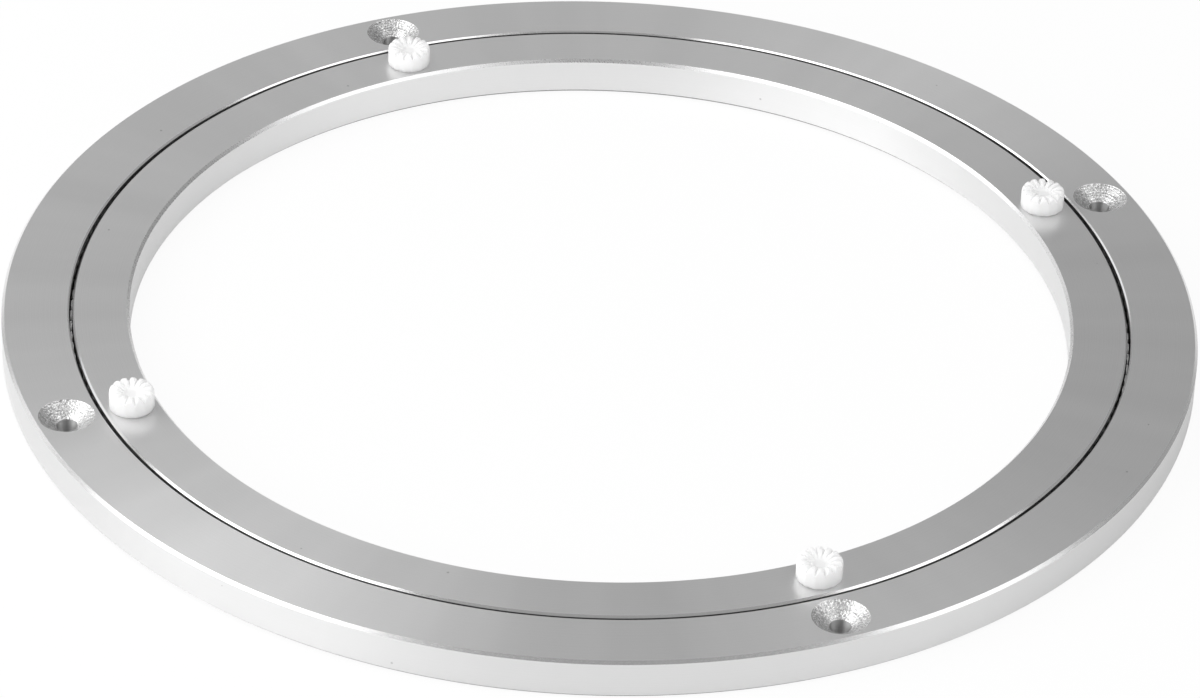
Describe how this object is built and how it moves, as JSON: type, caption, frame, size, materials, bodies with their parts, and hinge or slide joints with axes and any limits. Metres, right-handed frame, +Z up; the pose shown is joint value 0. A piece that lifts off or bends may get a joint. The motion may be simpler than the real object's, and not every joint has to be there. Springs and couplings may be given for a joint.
{
  "type": "lazy susan bearing",
  "caption": "Flat aluminium turntable bearing: an inner ring with toothed plastic pads spins on a full row of balls inside a screw-down outer ring, flush on top and open in the middle.",
  "frame": {"origin": "on the spin axis, at the underside of the outer ring", "axes": "+Z up along the spin axis, +X through the first screw hole"},
  "size_m": [0.25, 0.25, 0.0129],
  "materials": {
    "ring_metal": "satin, turned",
    "ball_steel": "polished",
    "pad_plastic": "matte moulded",
    "plug_steel": "black oxide"
  },
  "bodies": {
    "outer": {"outer_ring": "ring_metal", "filler_plug": "plug_steel"},
    "ball_row": {"bearing_balls": "ball_steel"},
    "inner": {"inner_ring": "ring_metal", "pad_1": "pad_plastic", "pad_2": "pad_plastic", "pad_3": "pad_plastic", "pad_4": "pad_plastic"}
  },
  "joints": [
    {"name": "inner_ring_spin", "type": "hinge", "parent": "outer", "child": "inner", "pos_m": [0, 0, 0.00425], "axis": [0, 0, 1], "continuous": true},
    {"name": "ball_row_orbit", "type": "hinge", "parent": "outer", "child": "ball_row", "pos_m": [0, 0, 0.00425], "axis": [0, 0, 1], "continuous": true}
  ],
  "couplings": [
    {"joint": "ball_row_orbit", "follows": "inner_ring_spin", "ratio": 0.4937}
  ]
}
